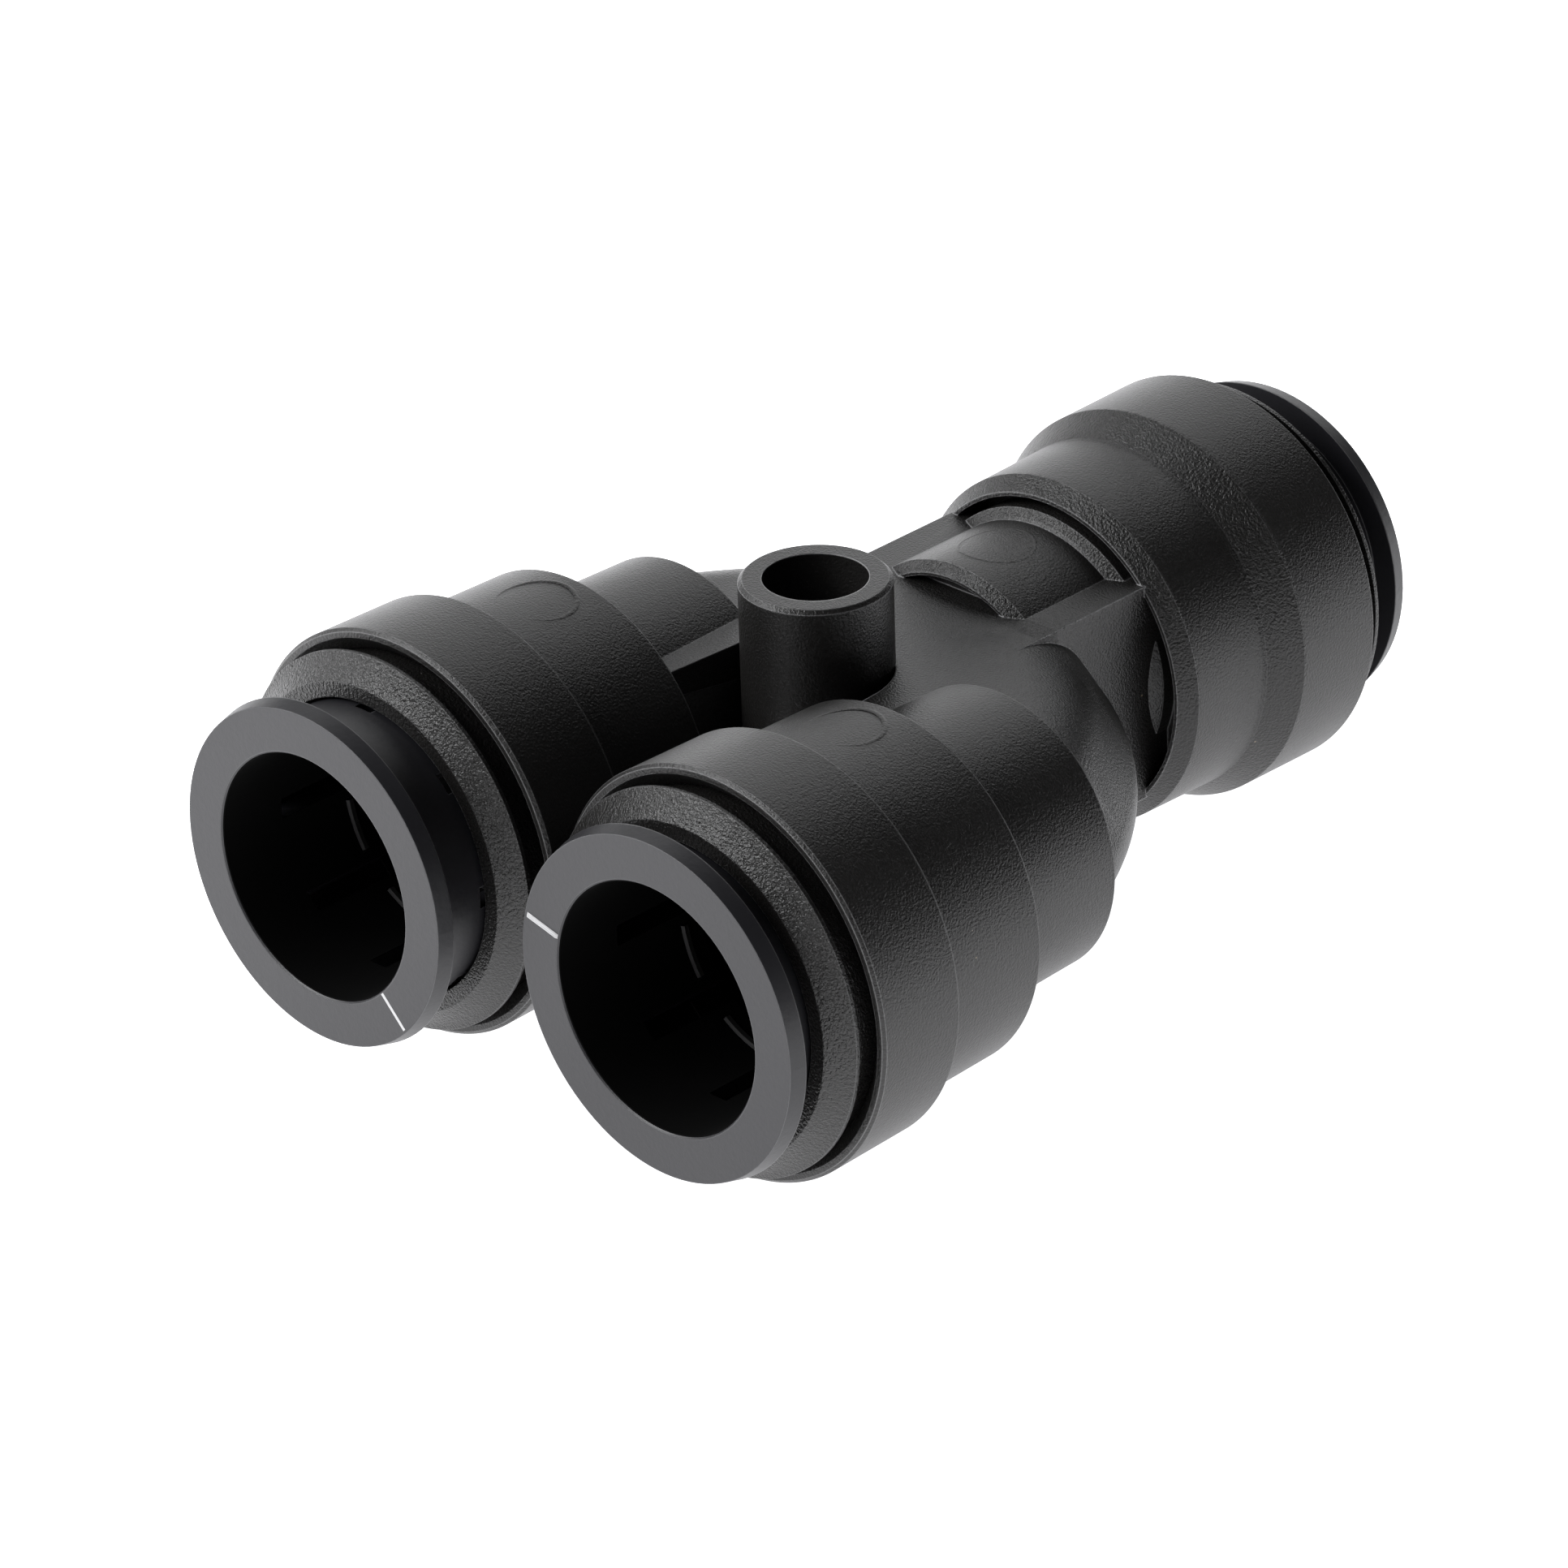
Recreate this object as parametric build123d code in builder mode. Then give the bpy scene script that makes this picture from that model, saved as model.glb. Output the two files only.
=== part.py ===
"""Two-way divider for 15 mm tube: two parallel legs and one stem, each with a push-in end.

One moulded body carries three identical push-in ends. Each end holds an end cap, a sliding
collet with a steel tooth in every finger, a spacer and a sealing ring. A hollow boss between
the legs takes the fixing screw. Millimetres, +Z up, origin on the fixing hole's axis at the
seating face. The legs' mouths face -Y and the stem's mouth faces +Y.
"""

import math
import os

from build123d import *

os.makedirs("parts", exist_ok=True)

# Tube and the clearances between pieces
tube_d = 15.0
bore_clearance = 0.05
slide_clearance = 0.2
seat_clearance = 0.05
stop_gap = 0.1
edge_break = 0.2

# Layout of the three ends: depths run inwards from the front edge of an end's collar
leg_spacing = 25.5
leg_front_y = -21.4
stem_front_y = 35.1

# Outside of an end
collar_front_r = 12.5
collar_back_r = 12.4
collar_length = 6.4
collar_back_break = 0.35
barrel_front_r = 11.25
barrel_back_r = 11.1
barrel_end_depth = 14.25

# Leg behind its barrel
root_front_r = 8.95
root_back_r = 8.75
root_end_depth = 22.95

# Stem: bevel behind the collar, then the nose of its barrel with a groove around the neck
stem_bevel_depth = 8.5
stem_barrel_end = 14.45
stem_nose_end = 15.5
stem_nose_r = 10.35
groove_outer_r = 10.15
groove_inner_r = 9.5
groove_depth = 1.3
groove_floor_r = 9.2
hub_front = 0.15

# Web between the legs, shoulders and the ribs beside the neck
web_half_height = 7.0
shoulder_bulge_r = 40.0
shoulder_top_y = 16.6
shoulder_run = 6.4
shoulder_slope_r = 20.0
shoulder_flat = 5.0
shoulder_overlap = 4.0
shoulder_inset = 0.1
leg_tip_inset = 0.7
leg_end_r = 18.0
neck_half_width = 7.75
rib_edge_r = 0.5
neck_r = 8.8
neck_ridge_y = 18.9
neck_ridge_length = 0.5
neck_ridge_arc = 90.0
neck_front_y = 11.3
neck_lip = 0.8
neck_recess_depth = 1.0
crotch_r = 5.25
crotch_y = -1.1
crotch_mouth_x = 5.7

# Fixing boss
boss_d = 9.0
fixing_hole_d = 6.2
boss_edge_break = 0.25

# Inside of an end
cap_bore_r = 11.0
cap_bore_depth = 4.9
lip_width = 0.55
head_bore_r = 9.9
tube_stop_depth = 13.0
waterway_r = 6.2
cross_way_r = 4.4
cross_way_leg_y = 2.5
cross_way_stem_y = 14.5

# End cap
nose_r = 11.65
nose_inner_r = 9.8
nose_front_depth = -2.35
nose_band_front = -2.05
nose_band_back = -1.05

# Collet
flange_face_r = 10.35
flange_back_r = 10.6
flange_thickness = 1.0
collet_barrel_r = 9.0
collet_head_r = 9.75
collet_length = 11.0
collet_out_depth = -7.15
head_ramp_start = 7.6
head_ramp_length = 1.6
finger_count = 8
finger_slot = 1.3
finger_root = 4.6
mouth_break = 0.15

# Steel tooth in each finger
tooth_tip_r = 7.35
tooth_root_r = 9.0
tooth_thickness = 0.3
tooth_lean = 0.5
tooth_setback = 2.0
tooth_arc = 24.0
tooth_fit = 0.03

# Seal
ring_section = 2.4
spacer_thickness = 1.4

# How far each collet stands pushed in
pushed_in = {"right": 2.0, "left": 0.0, "stem": 2.0}

# Sizes that follow from the ones above
axis_z = collar_front_r
boss_height = 2 * collar_front_r
leg_x = leg_spacing / 2
leg_end_y = leg_front_y + root_end_depth
stem_nose_y = stem_front_y - stem_nose_end
collet_bore_r = tube_d / 2 + bore_clearance
cap_skirt_r = cap_bore_r - seat_clearance
cap_skirt_end = cap_bore_depth - seat_clearance
cap_mouth_r = collet_barrel_r + slide_clearance
head_slope = (collet_head_r - collet_barrel_r) / head_ramp_length
cap_ramp_start = collet_out_depth + head_ramp_start + slide_clearance / head_slope - stop_gap
cap_ramp_end = cap_ramp_start + (head_bore_r - cap_mouth_r) / head_slope
push_travel = nose_front_depth - stop_gap - collet_out_depth - flange_thickness
spacer_front = collet_out_depth + push_travel + collet_length + seat_clearance
ring_front = spacer_front + spacer_thickness + seat_clearance
seal_floor_depth = ring_front + ring_section + seat_clearance
ring_centre_r = head_bore_r - seat_clearance - ring_section / 2

# Plane of each end's half section: x is the radius and y the depth
ends = {
    "right": Plane(origin=(leg_x, leg_front_y, axis_z), x_dir=(1, 0, 0), z_dir=(0, 0, 1)),
    "left": Plane(origin=(-leg_x, leg_front_y, axis_z), x_dir=(1, 0, 0), z_dir=(0, 0, 1)),
    "stem": Plane(origin=(0, stem_front_y, axis_z), x_dir=(1, 0, 0), z_dir=(0, 0, -1)),
}

# A shoulder's outline from above is one arc, from the leg's end to the rib beside the neck
arc_start = Vector(leg_x + root_back_r - shoulder_inset, leg_end_y)
arc_finish = Vector(neck_half_width, shoulder_top_y)
arc_chord = arc_finish - arc_start
arc_rise = math.sqrt(shoulder_bulge_r**2 - (arc_chord.length / 2) ** 2)
arc_inward = Vector(-arc_chord.Y, arc_chord.X).normalized()
arc_centre = (arc_start + arc_finish) * 0.5 + arc_inward * arc_rise
arc_from = math.degrees(math.atan2(arc_start.Y - arc_centre.Y, arc_start.X - arc_centre.X))
arc_to = math.degrees(math.atan2(arc_finish.Y - arc_centre.Y, arc_finish.X - arc_centre.X))


def arc_y(x, radius=shoulder_bulge_r):
    """Height in the plan, above x, of an arc about the shoulder's centre."""
    return arc_centre.Y + math.sqrt(radius**2 - (x - arc_centre.X) ** 2)


# Body: one moulding
with BuildPart() as body:
    # Web, with the slot between the legs and the ribs that run up to the stem
    flat_r = shoulder_bulge_r - shoulder_run
    rib_end_y = stem_nose_y + groove_depth
    slot_front_y = leg_front_y + barrel_end_depth - groove_depth
    with BuildSketch(Plane.XY.offset(axis_z - web_half_height)):
        with BuildLine():
            Polyline(
                (0, crotch_y + crotch_r),
                (0, rib_end_y),
                (neck_half_width, rib_end_y),
                (neck_half_width, arc_y(neck_half_width, flat_r)),
                (leg_x, arc_y(leg_x, flat_r)),
                (leg_x, slot_front_y),
                (crotch_mouth_x, slot_front_y),
                (crotch_r, crotch_y),
            )
            RadiusArc((crotch_r, crotch_y), (0, crotch_y + crotch_r), -crotch_r)
        make_face()
        mirror(about=Plane.YZ)
    extrude(amount=2 * web_half_height)
    rib_edges = body.edges().filter_by(Axis.Y).filter_by(
        lambda edge: abs(abs(edge.center().X) - neck_half_width) < edge_break
    )
    fillet(rib_edges, rib_edge_r)

    # Right shoulder: a bar with a bulging edge, swept about the outline's centre
    sweep_origin = (arc_centre.X, arc_centre.Y, axis_z)
    sweep_plane = Plane(origin=sweep_origin, x_dir=(1, 0, 0), z_dir=(0, -1, 0))
    with BuildSketch(sweep_plane.rotated((0, 0, arc_from))):
        with BuildLine():
            Polyline(
                (flat_r, web_half_height),
                (flat_r - shoulder_flat, web_half_height),
                (flat_r - shoulder_flat, -web_half_height),
                (flat_r, -web_half_height),
            )
            RadiusArc((flat_r, -web_half_height), (shoulder_bulge_r, 0), -shoulder_slope_r)
            RadiusArc((shoulder_bulge_r, 0), (flat_r, web_half_height), -shoulder_slope_r)
        make_face()
    revolve(
        axis=Axis(sweep_origin, (0, 0, 1)),
        revolution_arc=arc_to - arc_from + shoulder_overlap,
    )

    # Right leg, turned with its pointed blind end
    leg_tip_depth = arc_y(leg_x) - leg_tip_inset - leg_front_y
    with BuildSketch(ends["right"]):
        with BuildLine():
            Polyline(
                (0, leg_tip_depth),
                (0, 0),
                (collar_front_r - edge_break, 0),
                (collar_front_r, edge_break),
                (collar_back_r, collar_length - collar_back_break),
                (collar_back_r - collar_back_break, collar_length),
                (barrel_front_r, collar_length),
                (barrel_back_r, barrel_end_depth - edge_break),
                (barrel_back_r - edge_break, barrel_end_depth),
                (root_front_r, barrel_end_depth),
                (root_back_r, root_end_depth),
            )
            RadiusArc(
                (root_back_r, root_end_depth),
                (0, leg_tip_depth),
                -leg_end_r,
            )
        make_face()
    revolve(axis=Axis(ends["right"].origin, (0, 1, 0)))

    # Left leg and shoulder
    mirror(about=Plane.YZ)

    # Stem, with the groove around a hub that widens towards the groove's floor
    with BuildSketch(ends["stem"]):
        with BuildLine():
            Polyline(
                (0, 0),
                (collar_front_r - edge_break, 0),
                (collar_front_r, edge_break),
                (collar_back_r, collar_length),
                (barrel_front_r, stem_bevel_depth),
                (barrel_back_r, stem_barrel_end),
                (stem_nose_r, stem_nose_end),
                (groove_outer_r, stem_nose_end),
                (groove_outer_r, stem_nose_end - groove_depth),
                (groove_floor_r, stem_nose_end - groove_depth),
                (neck_half_width - edge_break, stem_nose_end - hub_front),
                (0, stem_nose_end - hub_front),
                close=True,
            )
        make_face()
    revolve(axis=Axis(ends["stem"].origin, (0, 1, 0)))

    # Neck, as wide as the ribs beside it, hollow behind its lip
    neck_plane = Plane(origin=(0, neck_front_y, axis_z), x_dir=(-1, 0, 0), z_dir=(0, 1, 0))
    with BuildSketch(neck_plane):
        Circle(neck_r)
        Rectangle(2 * neck_half_width, 2 * neck_r, mode=Mode.INTERSECT)
    extrude(amount=rib_end_y - neck_front_y)
    with BuildSketch(neck_plane):
        Circle(neck_r - neck_lip)
        Rectangle(4 * neck_r, 2 * web_half_height, mode=Mode.SUBTRACT)
    extrude(amount=neck_recess_depth, mode=Mode.SUBTRACT)

    # Raised ridge across the neck's top and foot, in front of the groove
    ridge_turns = (-90 - neck_ridge_arc / 2, 90 - neck_ridge_arc / 2)
    with BuildSketch(*[ends["stem"].rotated((0, turn, 0)) for turn in ridge_turns]):
        with BuildLine():
            Polyline(
                (neck_half_width - edge_break, stem_front_y - rib_end_y),
                (groove_inner_r, stem_front_y - rib_end_y),
                (groove_inner_r, stem_front_y - neck_ridge_y - neck_ridge_length),
                (neck_r, stem_front_y - neck_ridge_y),
                (neck_half_width - edge_break, stem_front_y - neck_ridge_y),
                close=True,
            )
        make_face()
    revolve(axis=Axis(ends["stem"].origin, (0, 1, 0)), revolution_arc=neck_ridge_arc)

    # Fixing boss, as tall as the collars
    with BuildSketch(Plane.XY):
        Circle(boss_d / 2)
    extrude(amount=boss_height)
    rims = body.edges().filter_by(GeomType.CIRCLE).filter_by(
        lambda edge: edge.center().Z in (0, boss_height)
    )
    chamfer(rims, boss_edge_break)

    # Stepped bore of each end, down to its waterway
    for side, plane in ends.items():
        way_end = cross_way_leg_y - leg_front_y
        if side == "stem":
            way_end = stem_front_y - cross_way_stem_y
        with BuildSketch(plane):
            with BuildLine():
                Polyline(
                    (0, way_end + waterway_r),
                    (0, 0),
                    (collar_front_r - lip_width, 0),
                    (cap_bore_r, collar_front_r - lip_width - cap_bore_r),
                    (cap_bore_r, cap_bore_depth),
                    (head_bore_r, cap_bore_depth),
                    (head_bore_r, seal_floor_depth),
                    (collet_bore_r, seal_floor_depth),
                    (collet_bore_r, tube_stop_depth),
                    (waterway_r, tube_stop_depth),
                    (waterway_r, way_end),
                )
                RadiusArc((waterway_r, way_end), (0, way_end + waterway_r), -waterway_r)
            make_face()
        revolve(axis=Axis(plane.origin, (0, 1, 0)), mode=Mode.SUBTRACT)

    # Slanted ways from each leg to the stem
    for x in (leg_x, -leg_x):
        way_start = Vector(x, cross_way_leg_y, axis_z)
        way_run = Vector(0, cross_way_stem_y, axis_z) - way_start
        with BuildSketch(Plane(origin=way_start, z_dir=way_run)):
            Circle(cross_way_r)
        extrude(amount=way_run.length, mode=Mode.SUBTRACT)

    # Fixing hole
    with BuildSketch(Plane.XY):
        Circle(fixing_hole_d / 2)
    extrude(amount=boss_height, mode=Mode.SUBTRACT)

body.part.label = "body"
export_step(body.part, "parts/body.step")


# The pieces of each push-in end
for side, plane in ends.items():
    mouth_axis = Axis(plane.origin, (0, 1, 0))
    face = collet_out_depth + pushed_in[side]
    tip = face + collet_length

    # End cap: a nose ring in front of the collar, on a skirt fixed in the body
    with BuildPart() as cap:
        with BuildSketch(plane):
            with BuildLine():
                Polyline(
                    (cap_mouth_r, nose_front_depth),
                    (nose_inner_r, nose_front_depth),
                    (nose_r, nose_band_front),
                    (nose_r, nose_band_back),
                    (cap_skirt_r, nose_band_back),
                    (cap_skirt_r, cap_skirt_end),
                    (head_bore_r, cap_skirt_end),
                    (head_bore_r, cap_ramp_end),
                    (cap_mouth_r, cap_ramp_start),
                    close=True,
                )
            make_face()
        revolve(axis=mouth_axis)
    cap.part.label = f"{side}_cap"
    export_step(cap.part, f"parts/{side}_cap.step")

    # Collet: a flange, a plain barrel, and slotted fingers with a raised head
    tooth_y = tip - tooth_setback
    finger_turns = [(index + 0.5) * 360 / finger_count for index in range(finger_count)]
    pocket_planes = [plane.rotated((0, turn - tooth_arc / 2 - 1, 0)) for turn in finger_turns]
    tooth_planes = [plane.rotated((0, turn - tooth_arc / 2, 0)) for turn in finger_turns]
    with BuildPart() as collet:
        with BuildSketch(plane):
            with BuildLine():
                Polyline(
                    (collet_bore_r + mouth_break, face),
                    (flange_face_r, face),
                    (flange_back_r, face + flange_thickness),
                    (collet_barrel_r, face + flange_thickness),
                    (collet_barrel_r, face + head_ramp_start),
                    (collet_head_r, face + head_ramp_start + head_ramp_length),
                    (collet_head_r, tip),
                    (collet_bore_r, tip),
                    (collet_bore_r, face + mouth_break),
                    close=True,
                )
            make_face()
        revolve(axis=mouth_axis)
        with BuildSketch(Plane(origin=plane.origin + plane.y_dir * tip, z_dir=-plane.y_dir)):
            with PolarLocations(flange_back_r / 2, finger_count):
                Rectangle(flange_back_r, finger_slot)
        extrude(amount=collet_length - finger_root, mode=Mode.SUBTRACT)
        with BuildSketch(*pocket_planes):
            with BuildLine():
                Polyline(
                    (collet_bore_r - tooth_fit, tooth_y + tooth_lean - tooth_fit),
                    (tooth_root_r + tooth_fit, tooth_y - tooth_fit),
                    (tooth_root_r + tooth_fit, tooth_y + tooth_thickness + tooth_fit),
                    (collet_bore_r - tooth_fit, tooth_y + tooth_lean + tooth_thickness + tooth_fit),
                    close=True,
                )
            make_face()
        revolve(axis=mouth_axis, revolution_arc=tooth_arc + 2, mode=Mode.SUBTRACT)
    collet.part.label = f"{side}_collet"
    export_step(collet.part, f"parts/{side}_collet.step")

    # Steel teeth: a thin lip in each finger that leans away from the mouth
    with BuildPart() as teeth:
        with BuildSketch(*tooth_planes):
            with BuildLine():
                lean_rate = tooth_lean / (tooth_root_r - collet_bore_r)
                tip_y = tooth_y + lean_rate * (tooth_root_r - tooth_tip_r)
                Polyline(
                    (tooth_tip_r, tip_y),
                    (tooth_root_r, tooth_y),
                    (tooth_root_r, tooth_y + tooth_thickness),
                    (tooth_tip_r, tip_y + tooth_thickness),
                    close=True,
                )
            make_face()
        revolve(axis=mouth_axis, revolution_arc=tooth_arc)
    teeth.part.label = f"{side}_teeth"
    export_step(teeth.part, f"parts/{side}_teeth.step")

    # Spacer between the collet and the seal
    with BuildPart() as spacer:
        with BuildSketch(plane):
            with Locations(((collet_bore_r + head_bore_r - seat_clearance) / 2, 0)):
                with Locations((0, spacer_front + spacer_thickness / 2)):
                    Rectangle(head_bore_r - seat_clearance - collet_bore_r, spacer_thickness)
        revolve(axis=mouth_axis)
    spacer.part.label = f"{side}_spacer"
    export_step(spacer.part, f"parts/{side}_spacer.step")

    # Sealing ring
    with BuildPart() as seal:
        with BuildSketch(plane):
            with Locations((ring_centre_r, ring_front + ring_section / 2)):
                Circle(ring_section / 2)
        revolve(axis=mouth_axis)
    seal.part.label = f"{side}_seal"
    export_step(seal.part, f"parts/{side}_seal.step")
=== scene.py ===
import math

import bmesh
import bpy
from mathutils import Matrix, Vector


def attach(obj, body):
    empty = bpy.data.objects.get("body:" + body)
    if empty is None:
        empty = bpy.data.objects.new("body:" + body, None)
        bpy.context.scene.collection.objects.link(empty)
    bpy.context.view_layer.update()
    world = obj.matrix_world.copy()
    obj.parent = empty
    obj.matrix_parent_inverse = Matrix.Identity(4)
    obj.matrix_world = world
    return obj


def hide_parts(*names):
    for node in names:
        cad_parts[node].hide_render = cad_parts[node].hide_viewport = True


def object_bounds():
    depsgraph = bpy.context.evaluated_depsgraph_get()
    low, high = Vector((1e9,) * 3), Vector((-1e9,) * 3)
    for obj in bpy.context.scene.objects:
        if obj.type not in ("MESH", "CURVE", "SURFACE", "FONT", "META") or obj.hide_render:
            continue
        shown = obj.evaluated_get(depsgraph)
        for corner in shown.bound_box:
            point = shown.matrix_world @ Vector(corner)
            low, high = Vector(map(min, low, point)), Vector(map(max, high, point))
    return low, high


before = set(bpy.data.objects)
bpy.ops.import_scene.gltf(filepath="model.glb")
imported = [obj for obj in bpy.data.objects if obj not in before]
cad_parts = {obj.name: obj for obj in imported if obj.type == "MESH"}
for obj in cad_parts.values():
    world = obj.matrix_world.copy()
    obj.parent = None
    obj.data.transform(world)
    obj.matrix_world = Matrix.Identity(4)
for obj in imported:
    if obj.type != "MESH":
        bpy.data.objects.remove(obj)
cad_low, cad_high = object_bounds()

# The body: one black moulding of engineering plastic. Two parallel legs, the stem, the web and the hollow
# boss come out of one tool whose faces are spark-eroded. Most of it has a fine even grain, and the stem's
# cones, the ridge beside them and the neck's front edge were left with a coarser grain that glitters.
port_z, leg_offset = 0.0125, 0.01275
coarse_grain_mm, coarse_depth_mm = 0.18, 0.09
dust_spacing, dust_size, dust_colour = 420.0, 0.028, (0.35, 0.28, 0.2, 1)


class Shade:
    """One socket of a material; arithmetic on it adds Math nodes."""

    def __init__(self, tree, socket=None):
        self.tree = tree
        self.socket = socket

    def node(self, kind, settings=(), inputs=(), output=0):
        made = self.tree.nodes.new(kind)
        for key, value in dict(settings).items():
            setattr(made, key, value)
        for key, value in dict(inputs).items():
            if isinstance(value, Shade):
                self.tree.links.new(value.socket, made.inputs[key])
            else:
                made.inputs[key].default_value = value
        return Shade(self.tree, made.outputs[output] if made.outputs else None)

    def math(self, operation, first, second):
        return self.node("ShaderNodeMath", {"operation": operation}, {0: first, 1: second})

    def __add__(self, other):
        return self.math("ADD", self, other)

    __radd__ = __add__

    def __mul__(self, other):
        return self.math("MULTIPLY", self, other)

    __rmul__ = __mul__

    def __sub__(self, other):
        return self.math("SUBTRACT", self, other)

    def __rsub__(self, other):
        return self.math("SUBTRACT", other, self)

    def __gt__(self, other):
        return self.math("GREATER_THAN", self, other)

    def __lt__(self, other):
        return self.math("LESS_THAN", self, other)


def new_material(name):
    """An empty material, a Shade to build it with, and the object's own coordinates."""
    material = bpy.data.materials.new(name)
    material.use_nodes = True
    material.node_tree.nodes.clear()
    shade = Shade(material.node_tree)
    return material, shade, shade.node("ShaderNodeTexCoord", output="Object")


def noise(shade, place, scale, detail, **more):
    """Plain noise over the surface."""
    return shade.node("ShaderNodeTexNoise", inputs={"Vector": place, "Scale": scale, "Detail": detail, **more})


def part_of(shade, place, axis):
    """One of the three coordinates."""
    return shade.node("ShaderNodeSeparateXYZ", inputs={"Vector": place}, output=axis)


def colour_mix(shade, factor, first, second):
    """The first colour where the factor is 0, and the second where it is 1."""
    return shade.node("ShaderNodeMix", {"data_type": "RGBA"}, {0: factor, 6: first, 7: second}, output=2)


def moulded_plastic(name, black, edge_highlight, roughness, grain_mm, depth_mm, edge_mm, bands=(), bore_r=0.0):
    """Black plastic with the tool's grain, a painted highlight along its edges and specks of dust.

    Each band is a range along Y and a least radius about the stem's axis, in metres, that have the coarser
    grain. Inside bore_r of a port's axis the plastic is painted a dull dead black:
    painted shade in the deep bore."""
    material, shade, place = new_material(name)
    along = part_of(shade, place, "Y")
    fine = noise(shade, place, 1000 / grain_mm, 2.0, Roughness=0.6)
    flow = noise(shade, place, 160.0, 3.0)
    height = depth_mm * fine
    if bands:
        coarse = noise(shade, place, 1000 / coarse_grain_mm, 2.0, Roughness=0.6)
        sideways = part_of(shade, place, "X")
        upward = part_of(shade, place, "Z") - port_z
        outside = sideways * sideways + upward * upward
        inside = 0
        for low, high, least_r in bands:
            inside = inside + (along > low) * (along < high) * (outside > least_r * least_r)
        height = height + coarse_depth_mm * coarse * inside
    soft_edge = shade.node("ShaderNodeBevel", {"samples": 8}, {"Radius": edge_mm / 1000})
    bumped = shade.node(
        "ShaderNodeBump",
        inputs={"Height": height, "Distance": 0.001, "Strength": 1.0, "Normal": soft_edge},
    )
    true_normal = shade.node("ShaderNodeNewGeometry", output="Normal")
    agreement = shade.node(
        "ShaderNodeVectorMath", {"operation": "DOT_PRODUCT"}, {0: soft_edge, 1: true_normal}, output="Value"
    )
    # Where the rounded shading normal leans away from the true normal, at the edges, the colour turns pale:
    # a painted highlight along the edges.
    edge_highlight_mask = shade.node("ShaderNodeMapRange", inputs={0: agreement, 1: 0.99, 2: 0.88, 3: 0.0, 4: 1.0})
    cells = shade.node(
        "ShaderNodeTexVoronoi", inputs={"Vector": place, "Scale": dust_spacing}, output="Distance"
    )
    dust = (cells < dust_size) * (flow > 0.56)
    darker, paler = [(*(share * part for part in black), 1) for share in (0.8, 1.2)]
    plain = colour_mix(shade, flow, darker, paler)
    # The pale edge colour mixed in here is the painted edge highlight.
    with_edge_highlight = colour_mix(shade, 0.8 * edge_highlight_mask, plain, (*edge_highlight, 1))
    dusty = colour_mix(shade, 0.5 * dust, with_edge_highlight, dust_colour)
    surface = shade.node(
        "ShaderNodeBsdfPrincipled",
        inputs={
            "Base Color": dusty,
            "Roughness": roughness - 0.05 + 0.05 * flow + 0.06 * fine,
            "Normal": bumped,
        },
    )
    # Inside the bore the colour is painted dead black with a weak, dull reflection: painted shade in the deep
    # bore.
    if bore_r:
        axis_x = leg_offset * (along < 0.0)
        sideways = part_of(shade, place, "X")
        across = sideways.math("ABSOLUTE", sideways, 0.0) - axis_x
        upward = part_of(shade, place, "Z") - port_z
        bore_shade_mask = across * across + upward * upward < bore_r * bore_r
        bore_shade = shade.node(
            "ShaderNodeBsdfPrincipled",
            inputs={"Base Color": (0.001, 0.001, 0.001, 1), "Roughness": 0.9, "Specular IOR Level": 0.08},
        )
        surface = shade.node("ShaderNodeMixShader", inputs={0: bore_shade_mask, 1: surface, 2: bore_shade})
    shade.node("ShaderNodeOutputMaterial", inputs={"Surface": surface})
    return material


body_plastic = moulded_plastic(
    "body_plastic",
    black=(0.0085, 0.008, 0.0076),
    edge_highlight=(0.34, 0.34, 0.345),
    roughness=0.37,
    grain_mm=0.15,
    depth_mm=0.06,
    edge_mm=0.16,
    bands=((0.0262, 0.0289, 0.009), (0.0186, 0.0208, 0.009), (0.0105, 0.0120, 0.0)),
)

# The body's outer form, in millimetres: the legs' ends are nearly straight cones, the shoulders have a
# rounded tip, a straight slope and a soft upper edge, the groove round the neck has a hub in it, and the
# neck's front edge is a narrow slope over its hollow. The mould's cavity was turned and milled so as well.
axis_height = 12.5


def placed(name, data):
    """An object for this mesh, lamp or lens, linked to the scene."""
    made = bpy.data.objects.new(name, data)
    bpy.context.scene.collection.objects.link(made)
    return made


def finished(mesh, material, sharp_degrees=None):
    """One material, and smooth shading between the sharp edges."""
    mesh.polygons.foreach_set("use_smooth", [True] * len(mesh.polygons))
    if sharp_degrees:
        mesh.set_sharp_from_angle(angle=math.radians(sharp_degrees))
    mesh.materials.clear()
    mesh.materials.append(material)


def solid(name, vertices, faces):
    """A closed mesh object from points in millimetres."""
    mesh = bpy.data.meshes.new(name)
    mesh.from_pydata([[0.001 * part for part in point] for point in vertices], [], faces)
    work = bmesh.new()
    work.from_mesh(mesh)
    bmesh.ops.remove_doubles(work, verts=work.verts, dist=1e-7)
    bmesh.ops.recalc_face_normals(work, faces=work.faces)
    work.to_mesh(mesh)
    work.free()
    return placed(name, mesh)


def arc(start, end, radius, steps):
    """Points after start on an arc that bulges to the left of the way from start to end."""
    (x0, y0), (x1, y1) = start, end
    half = math.hypot(x1 - x0, y1 - y0) / 2
    along = ((x1 - x0) / (2 * half), (y1 - y0) / (2 * half))
    drop = math.sqrt(radius * radius - half * half)
    centre = ((x0 + x1) / 2 + along[1] * drop, (y0 + y1) / 2 - along[0] * drop)
    first = math.atan2(y0 - centre[1], x0 - centre[0])
    sweep = 2 * math.asin(half / radius)
    angles = [first - sweep * n / steps for n in range(1, steps + 1)]
    return [(centre[0] + radius * math.cos(a), centre[1] + radius * math.sin(a)) for a in angles]


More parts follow.
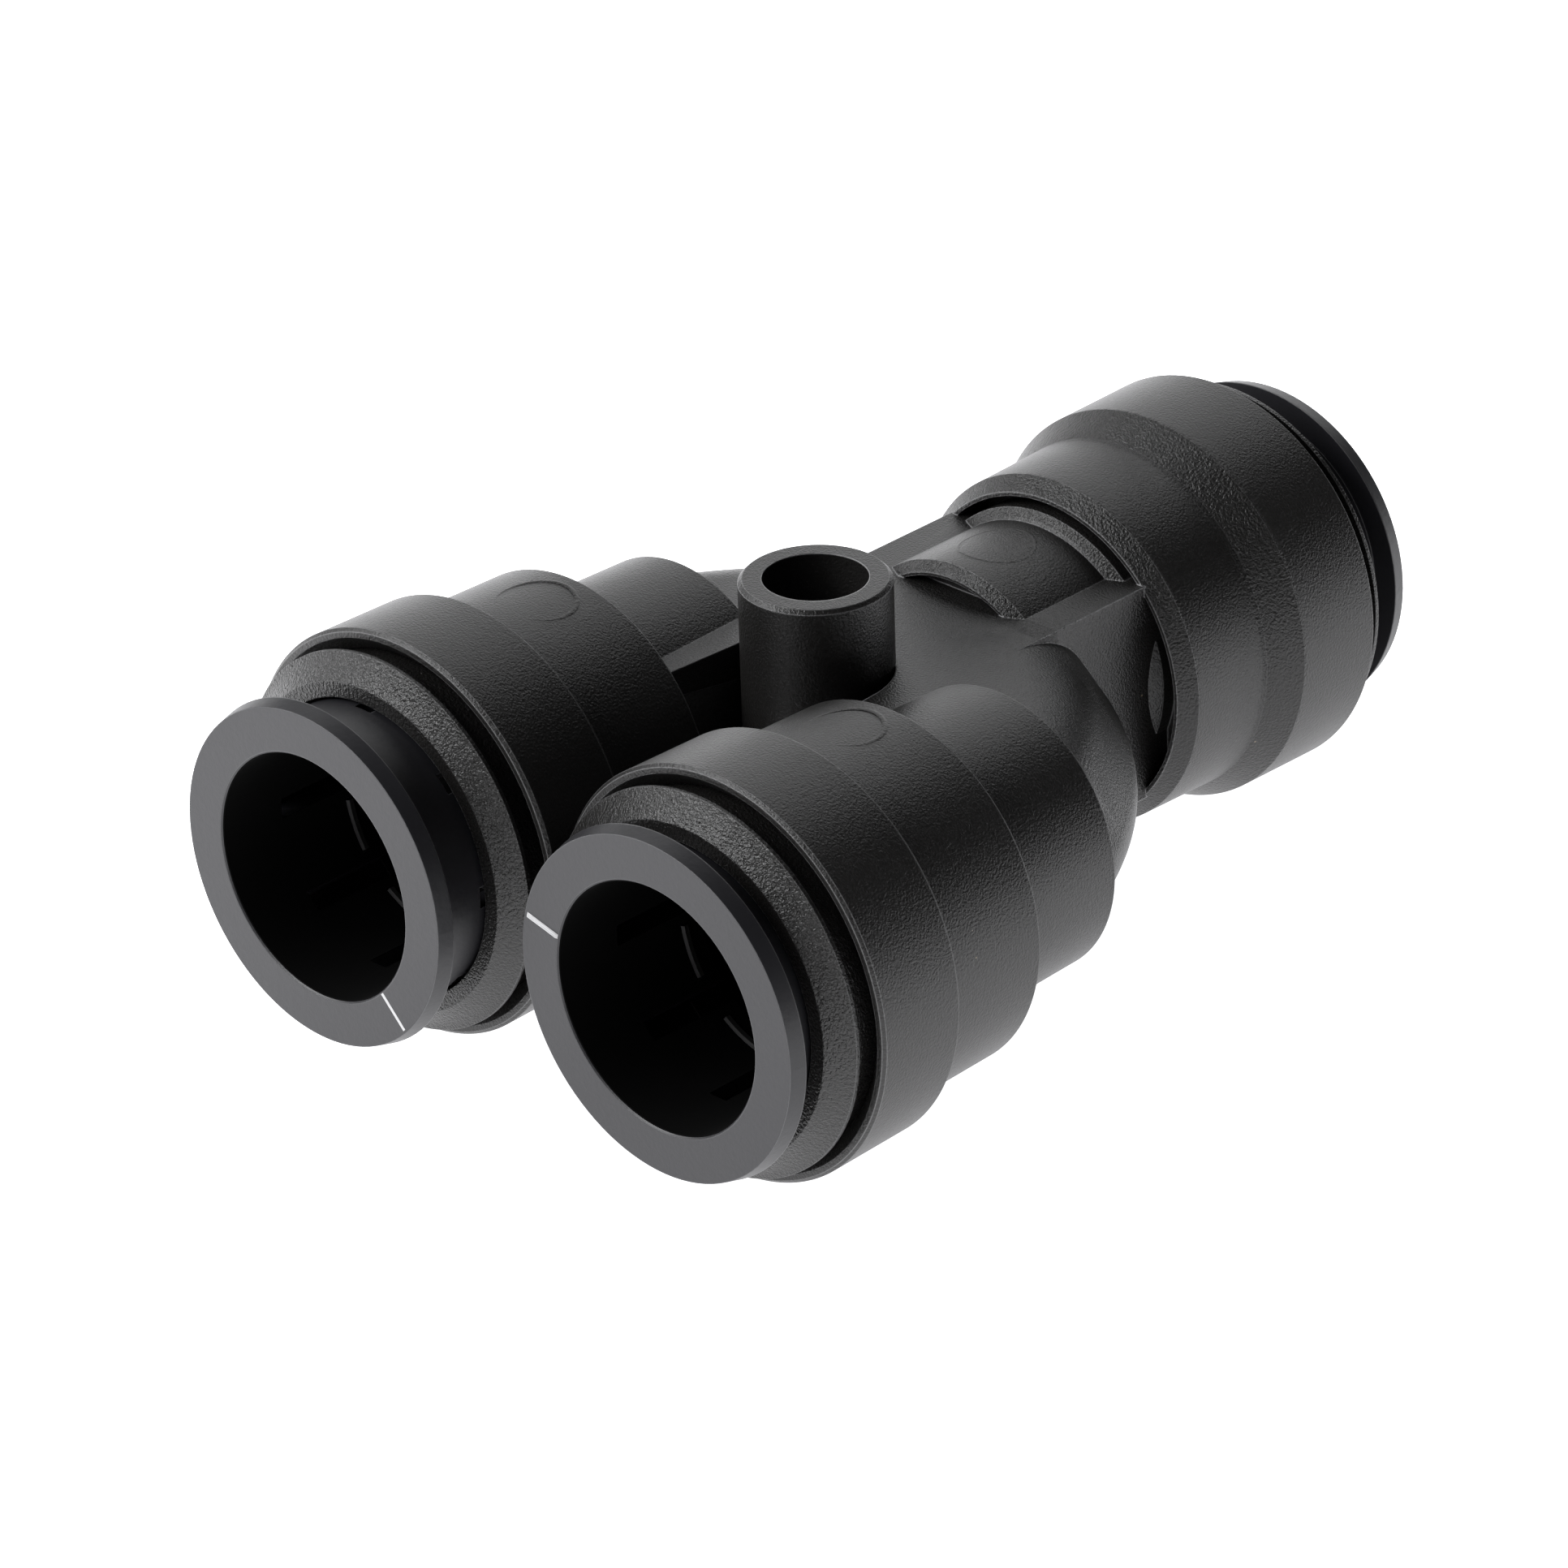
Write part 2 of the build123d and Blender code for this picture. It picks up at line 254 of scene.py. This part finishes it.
def turned(name, profile, place, from_degrees=0.0, degrees=360.0, steps=192):
    """A section turned about an axis. The profile holds radius and travel, and place(r, angle, t) a point."""
    whole = degrees == 360.0
    rows = steps if whole else steps + 1
    vertices = []
    faces = []
    count = len(profile)
    for row in range(rows):
        angle = math.radians(from_degrees + degrees * row / steps)
        vertices += [place(radius, angle, travel) for radius, travel in profile]
    for row in range(steps):
        here, following = row * count, (row + 1) % rows * count
        for point in range(count):
            beyond = (point + 1) % count
            on_axis = profile[point][0] < 1e-6 and profile[beyond][0] < 1e-6
            if not on_axis:
                faces.append((here + point, here + beyond, following + beyond, following + point))
    if not whole:
        faces.append(tuple(range(count)))
        faces.append(tuple(steps * count + point for point in range(count)))
    return solid(name, vertices, faces)


def prism(name, outlines):
    """Matching outlines joined by walls, with a face on the first and on the last."""
    count = len(outlines[0])
    last = (len(outlines) - 1) * count
    vertices = [point for outline in outlines for point in outline]
    faces = [tuple(range(count)), tuple(last + point for point in range(count))]
    for here in range(0, last, count):
        following = here + count
        for point in range(count):
            beyond = (point + 1) % count
            faces.append((here + point, here + beyond, following + beyond, following + point))
    return solid(name, vertices, faces)


def ring_points(radius, degrees):
    """Points of a circle at whole degrees."""
    return [(radius * math.cos(math.radians(a)), radius * math.sin(math.radians(a))) for a in degrees]


leg_x, leg_mouth_y, stem_mouth_y = 12.75, -21.4, 35.1
mouths = {"right": (leg_x, leg_mouth_y, 1), "left": (-leg_x, leg_mouth_y, 1), "stem": (0.0, stem_mouth_y, -1)}


def about_mouth(side):
    """Where a point of an end's section lies: its depth runs inwards from the collar's front edge."""
    centre_x, mouth_y, inward = mouths[side]
    return lambda r, angle, depth: (
        centre_x + r * math.cos(angle),
        mouth_y + inward * depth,
        axis_height + r * math.sin(angle),
    )


def about_upright(r, angle, z):
    """Where a point of the boss's section lies."""
    return r * math.cos(angle), r * math.sin(angle), z


# The shoulders' outline from above is one arc, and their half section ends in a slope between two rounds
bulge_r, web_half, neck_half = 36.0, 7.0, 7.75
outline_start, outline_end = (leg_x + 8.65, 1.55), (neck_half, 16.6)
chord = math.dist(outline_start, outline_end)
way = ((outline_end[0] - outline_start[0]) / chord, (outline_end[1] - outline_start[1]) / chord)
sink = math.sqrt(bulge_r**2 - (chord / 2) ** 2)
sweep_x = (outline_start[0] + outline_end[0]) / 2 - way[1] * sink
sweep_y = (outline_start[1] + outline_end[1]) / 2 + way[0] * sink
sweep_from = math.degrees(math.atan2(outline_start[1] - sweep_y, outline_start[0] - sweep_x))
sweep_to = math.degrees(math.atan2(outline_end[1] - sweep_y, outline_end[0] - sweep_x))
into_rib, inward_reach = 4.0, 5
slope, tip_round, top_round = math.radians(60), 2.0, 5.0
tip_z = tip_round * math.cos(slope)
tip_r = bulge_r - tip_round * (1 - math.sin(slope))
round_z = web_half - top_round * (1 - math.cos(slope))
round_r = tip_r - (round_z - tip_z) / math.tan(slope)
flat_r = round_r - top_round * math.sin(slope)
soft_top = [(flat_r, web_half)] + arc((flat_r, web_half), (round_r, round_z), top_round, 10)[:-1]
upper = [(tip_r, tip_z), (round_r, round_z)] + soft_top[::-1]
tip_angles = [math.radians(a) for a in range(-24, 25, 8)]
tip = [(bulge_r - tip_round * (1 - math.cos(a)), tip_round * math.sin(a)) for a in tip_angles]
inner = [(flat_r - inward_reach, web_half), (flat_r - inward_reach, -web_half)]
shoulder_section = tip + upper + inner + [(r, -z) for r, z in reversed(upper)]


def about_sweep(sign):
    """Where a point of a shoulder's section lies, on the right for 1 and on the left for -1."""
    return lambda r, angle, z: (
        sign * (sweep_x + r * math.cos(angle)),
        sweep_y + r * math.sin(angle),
        axis_height + z,
    )


def web_edge_y(x):
    """The web's far edge in the plan, under the inner rim of the shoulder."""
    return sweep_y + math.sqrt(flat_r**2 - (x - sweep_x) ** 2)


# The web from above, with the slot between the legs and the ribs that run up to the stem
rib_end = 21.6
crotch_r, crotch_y, slot_y, slot_x = 5.25, -1.1, -8.45, 5.7
half_plan = [
    (neck_half, rib_end),
    (neck_half, web_edge_y(neck_half)),
    (leg_x, web_edge_y(leg_x)),
    (leg_x, slot_y),
    (slot_x, slot_y),
    (crotch_r, crotch_y),
]
half_plan += [(x, crotch_y + y) for x, y in ring_points(crotch_r, range(6, 90, 6))]
plan = half_plan + [(0, crotch_y + crotch_r)] + [(-x, y) for x, y in reversed(half_plan)]
blank = prism("body_shell", [[(x, y, axis_height + z) for x, y in plan] for z in (-web_half, web_half)])
work = bmesh.new()
work.from_mesh(blank.data)
rib_edges = [
    edge
    for edge in work.edges
    if all(abs(abs(vert.co.x) - 0.001 * neck_half) < 1e-6 and vert.co.y > 0.012 for vert in edge.verts)
    and abs(edge.verts[0].co.z - edge.verts[1].co.z) < 1e-6
]
bmesh.ops.bevel(work, geom=rib_edges, offset=0.0005, segments=5, profile=0.5, affect="EDGES")
work.to_mesh(blank.data)
work.free()

added = []
for side, sign in (("right", 1), ("left", -1)):
    length = sweep_to - sweep_from + into_rib
    added.append(turned(side + "_shoulder", shoulder_section, about_sweep(sign), sweep_from, length, 96))

# Each end is a collar with a soft front edge, a narrower barrel and a root. A leg closes in a cone that is
# a little bulged, and the stem has a groove with a hub in it.
root_r, root_end = 8.75, 22.95
leg_tip = sweep_y + math.sqrt(bulge_r**2 - (leg_x - sweep_x) ** 2) - 0.7 - leg_mouth_y
leg_profile = [(0, 0), (12.3, 0), (12.5, 0.2), (12.4, 6.05), (12.05, 6.4)]
leg_profile += [(11.25, 6.4), (11.1, 14.05), (10.9, 14.25), (8.95, 14.25), (root_r, root_end)]
leg_cone = arc((leg_tip, 0), (root_end, root_r), 40.0, 14)
leg_profile += [(r, depth) for depth, r in reversed(leg_cone[:-1])] + [(0, leg_tip)]
for side in ("right", "left"):
    added.append(turned(side + "_leg", leg_profile, about_mouth(side)))
stem_profile = [(0, 0), (12.3, 0), (12.5, 0.2), (12.4, 6.4), (11.25, 8.5), (11.1, 14.45), (10.3, 15.5)]
stem_profile += [(10.05, 15.5), (10.05, 13.5), (8.35, 13.5), (8.35, 14.5), (7.55, 15.4), (0, 15.4)]
added.append(turned("stem_barrel", stem_profile, about_mouth("stem")))


def neck_outline(radius, half, y):
    """The neck's cross-section: a circle with flat sides."""
    high = math.acos(half / radius)
    angles = [high + (math.pi - 2 * high) * n / 48 for n in range(49)]
    points = [(radius * math.cos(a), radius * math.sin(a)) for a in angles]
    return [(x, y, axis_height + z) for x, z in points + [(-x, -z) for x, z in points]]


neck_r = 8.8
neck_front = [neck_outline(8.2, 7.15, 11.3), neck_outline(neck_r, neck_half, 11.9)]
added.append(prism("neck", neck_front + [neck_outline(neck_r, neck_half, rib_end)]))
ridge_profile = [(7.55, 13.5), (9.45, 13.5), (9.45, 15.7), (neck_r, 16.2), (7.55, 16.2)]
for name, start in (("top_ridge", 45.0), ("foot_ridge", 225.0)):
    added.append(turned(name, ridge_profile, about_mouth("stem"), start, 90.0, 64))
boss_profile = [(0, 0), (4.25, 0), (4.5, 0.25), (4.5, 24.75), (4.25, 25), (0, 25)]
added.append(turned("boss", boss_profile, about_upright, steps=128))

# What is cut away: the neck's hollow, the stepped bore of each end, the slanted ways and the fixing hole
removed = []
hollow_r, hollow_half = 8.0, 7
hollow_from = math.asin(hollow_half / hollow_r)
hollow_angles = [hollow_from + (math.pi - 2 * hollow_from) * n / 32 for n in range(33)]
for sign in (1, -1):
    outline = [(hollow_r * math.cos(a), sign * hollow_r * math.sin(a)) for a in hollow_angles]
    removed.append(prism("hollow", [[(x, y, axis_height + z) for x, z in outline] for y in (11.0, 12.3)]))
way_r, slanted_r, hole_r = 6.2, 4.4, 3.1
for side in mouths:
    way_end = 20.6 if side == "stem" else 23.9
    bore = [(0, way_end + way_r), (0, -1), (12.95, -1), (11.0, 0.95), (11.0, 4.9), (9.9, 4.9), (9.9, 11.5)]
    bore += [(7.55, 11.5), (7.55, 13.0), (way_r, 13.0), (way_r, way_end)]
    bore += [(r, way_end + depth) for r, depth in ring_points(way_r, range(10, 90, 10))]
    removed.append(turned(side + "_bore", bore, about_mouth(side), steps=128))
for sign in (1, -1):
    start, end = Vector((sign * leg_x, 2.5, axis_height)), Vector((0, 14.5, axis_height))
    run = (end - start).normalized()
    level_axis, upright_axis = Vector((-run.y, run.x, 0)), Vector((0, 0, 1))
    spokes = [slanted_r * (a * level_axis + b * upright_axis) for a, b in ring_points(1, range(0, 360, 5))]
    ends = [[tuple(centre + spoke) for spoke in spokes] for centre in (start, end)]
    removed.append(prism("slanted_way", ends))
removed.append(turned("fixing_hole", [(0, -1), (hole_r, -1), (hole_r, 26), (0, 26)], about_upright, steps=96))
for tools, operation in ((added, "UNION"), (removed, "DIFFERENCE")):
    for tool in tools:
        step = blank.modifiers.new(tool.name, "BOOLEAN")
        step.operation = operation
        step.object = tool
        step.solver = "MANIFOLD"
graph = bpy.context.evaluated_depsgraph_get()
shell_mesh = bpy.data.meshes.new_from_object(blank.evaluated_get(graph))
for spent in (blank, *added, *removed):
    bpy.data.objects.remove(spent)
finished(shell_mesh, body_plastic, sharp_degrees=20)
body_shell = placed("body_shell", shell_mesh)
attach(body_shell, "housing")
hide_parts("body")

# The ejector pins' marks: where a pin's end met the cavity, plastic crept into its clearance and left a
# thin raised ring. There is one on top of each leg's barrel and one on the neck, and they follow the curve.
pin_ring_section = ((-0.00016, -0.00002), (-0.00006, 0.000022), (0.00006, 0.000022), (0.00016, -0.00002))


def pin_mark(name, centre_x, centre_y, round_r, ring_r, axis_x):
    """A thin raised ring that lies on a round top."""
    steps = 96
    vertices = []
    faces = []
    count = len(pin_ring_section)
    for step in range(steps):
        angle = 2 * math.pi * step / steps
        for out, rise in pin_ring_section:
            across = centre_x - axis_x + (ring_r + out) * math.cos(angle)
            height = port_z + math.sqrt(round_r * round_r - across * across) + rise
            vertices.append((axis_x + across, centre_y + (ring_r + out) * math.sin(angle), height))
        here, following = step * count, (step + 1) % steps * count
        for side in range(count - 1):
            faces.append((here + side, here + side + 1, following + side + 1, following + side))
    mesh = bpy.data.meshes.new(name)
    mesh.from_pydata(vertices, [], faces)
    finished(mesh, body_plastic)
    ring = placed(name, mesh)
    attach(ring, "housing")


pin_mark("right_pin_mark", 0.0122, -0.0106, 0.01118, 0.00236, leg_offset)
pin_mark("left_pin_mark", -0.0122, -0.0106, 0.01118, 0.00236, -leg_offset)
pin_mark("neck_pin_mark", -0.0003, 0.0156, 0.0088, 0.0023, 0.0)

# The end caps: the same black plastic, moulded apart and fixed in the collars by a skirt. Only the nose
# ring shows, in front of the collar, and its cone has a coarse grain that glitters.
cap_plastic = moulded_plastic(
    "cap_plastic",
    black=(0.0085, 0.008, 0.0076),
    edge_highlight=(0.11, 0.11, 0.112),
    roughness=0.28,
    grain_mm=0.18,
    depth_mm=0.10,
    edge_mm=0.12,
)
nose_section = [(9.2, -2.35), (10.15, -2.35), (11.3, -1.45), (11.65, -1.3), (11.65, -1.05)]
skirt_section = [(10.95, -1.05), (10.95, 4.85), (9.9, 4.85), (9.9, 2.27), (9.2, 0.777)]
for side in mouths:
    nose = turned(side + "_nose", nose_section + skirt_section, about_mouth(side))
    finished(nose.data, cap_plastic, sharp_degrees=20)
    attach(nose, "housing")
    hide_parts(side + "_cap")

# The collets: a harder and smoother black plastic, a little lighter than the body. They slide in the caps
# and let go of the tube when their flanges are pushed in.
collet_plastic = moulded_plastic(
    "collet_plastic",
    black=(0.0125, 0.0122, 0.0148),
    edge_highlight=(0.12, 0.12, 0.125),
    roughness=0.42,
    grain_mm=0.35,
    depth_mm=0.012,
    edge_mm=0.12,
    bore_r=0.0076,
)
for side in mouths:
    finished(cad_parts[side + "_collet"].data, collet_plastic)

# The flow lines on the collets: the two fronts of molten plastic met on one side of the ring, and left a
# raised double line from the bore to the rim. Its pale colour is a painted highlight along the line.
line_highlight_plastic = moulded_plastic(
    "line_highlight_plastic",
    black=(0.5, 0.5, 0.505),
    edge_highlight=(0.5, 0.5, 0.5),
    roughness=0.38,
    grain_mm=0.3,
    depth_mm=0.01,
    edge_mm=0.05,
)


def flow_line(name, body, centre_x, face_y, outward, degrees, rise):
    """A raised double line across a collet's face, that thins out at the bore and at the rim."""
    angle = math.radians(degrees)
    lengthwise = Vector((math.cos(angle), 0, math.sin(angle)))
    crosswise = Vector((-math.sin(angle), 0, math.cos(angle)))
    centre = Vector((centre_x, face_y, port_z))
    foot = -0.00001
    section = [(-0.00016, foot), (-0.00011, rise), (-0.00003, rise), (0.0, 0.3 * rise)]
    section += [(0.00003, rise), (0.00011, rise), (0.00016, foot)]
    stations = ((0.00772, 0.1), (0.00782, 1.0), (0.0087, 0.85), (0.0096, 1.0), (0.01008, 1.0), (0.01018, 0.1))
    count = len(section)
    vertices = []
    faces = []
    for row, (radius, fullness) in enumerate(stations):
        for aside, lift in section:
            point = centre + lengthwise * radius + crosswise * aside
            point.y += outward * lift * fullness
            vertices.append(point)
        if row:
            before, here = (row - 1) * count, row * count
            faces += [(before + n, before + n + 1, here + n + 1, here + n) for n in range(count - 1)]
    mesh = bpy.data.meshes.new(name)
    mesh.from_pydata(vertices, [], faces)
    finished(mesh, line_highlight_plastic)
    line = placed(name, mesh)
    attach(line, body)


flow_line("right_flow_line", "right_release", leg_offset, -0.02655, -1, 166, 0.00009)
flow_line("left_flow_line", "left_release", -leg_offset, -0.02855, -1, -46, 0.0000005)
flow_line("stem_flow_line", "stem_release", 0.0, 0.04025, 1, 30, 0.0000005)

# The teeth: thin stainless strips moulded into the collet's fingers, with a rolled finish.
tooth_steel, shade, place = new_material("tooth_steel")
rolled = noise(shade, place, 2500.0, 2.0)
# The steel is given a colour far darker than bare stainless: painted shade, as the teeth sit deep in the bore.
steel = shade.node(
    "ShaderNodeBsdfPrincipled",
    inputs={"Base Color": (0.09, 0.09, 0.09, 1), "Metallic": 1.0, "Roughness": 0.5 + 0.15 * rolled},
)
shade.node("ShaderNodeOutputMaterial", inputs={"Surface": steel})
for side in mouths:
    finished(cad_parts[side + "_teeth"].data, tooth_steel)

# The spacers: plain smooth rings of black plastic that keep the fingers off the seals.
spacer_plastic = moulded_plastic(
    "spacer_plastic",
    black=(0.006, 0.006, 0.006),
    edge_highlight=(0.03, 0.03, 0.03),
    roughness=0.5,
    grain_mm=0.5,
    depth_mm=0.004,
    edge_mm=0.1,
)
for side in mouths:
    finished(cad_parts[side + "_spacer"].data, spacer_plastic)

# The seals: black rubber O-rings with a dull, faintly greased skin.
seal_rubber, shade, place = new_material("seal_rubber")
skin = noise(shade, place, 900.0, 3.0)
bumped = shade.node("ShaderNodeBump", inputs={"Height": skin, "Distance": 0.00001, "Strength": 1.0})
rubber = shade.node(
    "ShaderNodeBsdfPrincipled",
    inputs={"Base Color": (0.008, 0.008, 0.008, 1), "Roughness": 0.45 + 0.2 * skin, "Normal": bumped},
)
shade.node("ShaderNodeOutputMaterial", inputs={"Surface": rubber})
for side in mouths:
    finished(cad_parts[side + "_seal"].data, seal_rubber)

# The floor: a white light table, far wider than the view, that glows and throws soft light back under the
# fitting, so that no shadow falls on it.
half = 3.0
corners = [(-half, -half, 0), (half, -half, 0), (half, half, 0), (-half, half, 0)]
floor_mesh = bpy.data.meshes.new("floor")
floor_mesh.from_pydata(corners, [], [(0, 1, 2, 3)])
floor = placed("floor", floor_mesh)
floor.location.z = cad_low.z - 0.00002
white, shade, place = new_material("table_white")
across = part_of(shade, place, "X")
glow = shade.node("ShaderNodeMapRange", inputs={0: across, 1: 0.0, 2: -0.035, 3: 0.0, 4: 1.0})
surface = shade.node(
    "ShaderNodeBsdfPrincipled",
    inputs={
        "Base Color": (0.8, 0.8, 0.8, 1),
        "Roughness": 0.8,
        "Emission Color": colour_mix(shade, glow, (0.75, 0.75, 0.765, 1), (0.98, 0.98, 1.0, 1)),
        "Emission Strength": 1.65,
    },
)
shade.node("ShaderNodeOutputMaterial", inputs={"Surface": surface})
floor_mesh.materials.append(white)

# The lights: a tall softbox and a low backdrop behind on the left for the round tops, two small strong
# softboxes on the left and in front for the cones and their coarse grain, and a dark room all round.
world = bpy.data.worlds.new("studio")
world.use_nodes = True
world.node_tree.nodes["Background"].inputs["Color"].default_value = (0.03, 0.03, 0.03, 1)
bpy.context.scene.world = world
aim = Vector((0, 0.005, 0.012))
for name, stand, wide, tall, bright in (
    ("back_left", (-0.60, 0.88, 0.97), 1.35, 0.9, 1.6),
    ("backdrop", (-0.95, 1.05, 0.23), 1.5, 0.44, 1.75),
    ("left", (-0.835, -0.522, 0.77), 0.8, 0.6, 6.0),
    ("front", (-0.42, -0.90, 0.74), 0.8, 0.6, 6.3),
):
    lamp = bpy.data.lights.new(name, "AREA")
    lamp.shape = "RECTANGLE"
    lamp.size = wide
    lamp.size_y = tall
    lamp.color = (0.985, 0.99, 1.0)
    lamp.energy = bright * math.pi * wide * tall
    light = placed(name, lamp)
    light.location = stand
    light.rotation_euler = (Vector(stand) - aim).to_track_quat("Z", "Y").to_euler()

# The camera: a long lens from the right front, a little tilted, as the photo was taken.
azimuth = math.radians(44.846)
elevation = math.radians(27.683)
roll = math.radians(-1.854)
distance = 0.4390
aside, below = -0.0019, 0.00069
centre = Vector((0, -0.000376, 0.0125))
flat = math.cos(elevation)
back = Vector((math.sin(azimuth) * flat, -math.cos(azimuth) * flat, math.sin(elevation)))
level = Vector((math.cos(azimuth), math.sin(azimuth), 0))
upright = back.cross(level)
right = level * math.cos(roll) + upright * math.sin(roll)
up = upright * math.cos(roll) - level * math.sin(roll)
lens = bpy.data.cameras.new("camera")
lens.lens = 173.39
lens.sensor_width = 36.0
lens.clip_start = 0.01
camera = placed("camera", lens)
turn = Matrix((right, up, back)).transposed().to_4x4()
camera.matrix_world = Matrix.Translation(right * aside - up * below + back * distance + centre) @ turn
bpy.context.scene.camera = camera
bpy.context.scene.view_settings.view_transform = "Standard"
